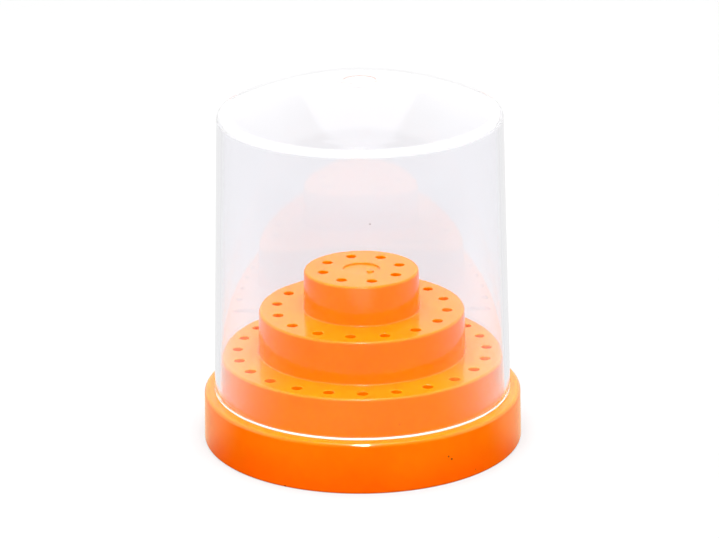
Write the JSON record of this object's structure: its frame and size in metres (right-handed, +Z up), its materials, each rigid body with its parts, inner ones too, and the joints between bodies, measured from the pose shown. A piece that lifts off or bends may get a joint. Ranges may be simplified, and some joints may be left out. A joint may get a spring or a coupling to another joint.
{
  "type": "dental bur block",
  "caption": "Round stepped bur block with rings of sockets on three tiers and a clear domed cover that lifts off.",
  "frame": {"origin": "centre of the block's foot, on the surface it stands on", "axes": "+Z up along the axis of the block and the cover; +X through one socket of every ring"},
  "size_m": [0.075, 0.075, 0.0866],
  "materials": {
    "block_plastic": "glossy moulded plastic",
    "cover_plastic": "clear polished plastic"
  },
  "bodies": {
    "block": {"bur_block": "block_plastic"},
    "cover": {"clear_cover": "cover_plastic"}
  },
  "joints": [
    {"name": "cover_lift", "type": "slide", "parent": "block", "child": "cover", "axis": [0, 0, 1], "range_m": [0, 0.04]}
  ]
}
